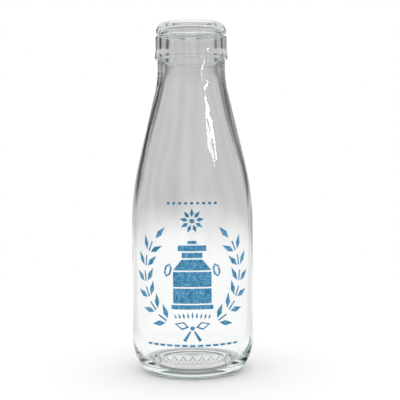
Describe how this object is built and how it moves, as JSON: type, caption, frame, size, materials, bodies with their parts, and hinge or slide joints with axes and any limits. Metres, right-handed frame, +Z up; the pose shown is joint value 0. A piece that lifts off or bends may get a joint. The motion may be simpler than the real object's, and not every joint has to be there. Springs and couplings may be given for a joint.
{
  "type": "glass milk bottle",
  "caption": "Tall clear glass milk bottle with sloping shoulder, collared neck, domed lip and a blue fired-enamel churn and wreath print; open at the top, stands on a foot ring.",
  "frame": {"origin": "on the bottle's axis at the plane of the foot ring it stands on", "axes": "+Z up along the axis towards the mouth, the printed front faces -Y, +X to the right as seen from the front"},
  "size_m": [0.0764, 0.0766, 0.2182],
  "materials": {
    "glass": "clear moulded glass, glossy, faint green tint",
    "enamel": "fired blue enamel, slightly speckled, satin"
  },
  "bodies": {
    "root": {"glass_bottle": "glass", "enamel_churn": "enamel", "enamel_handles": "enamel", "enamel_left_branch": "enamel", "enamel_right_branch": "enamel", "enamel_daisy": "enamel", "enamel_bow": "enamel", "enamel_grass": "enamel", "enamel_dash_row": "enamel", "enamel_dot_row": "enamel"}
  },
  "joints": []
}
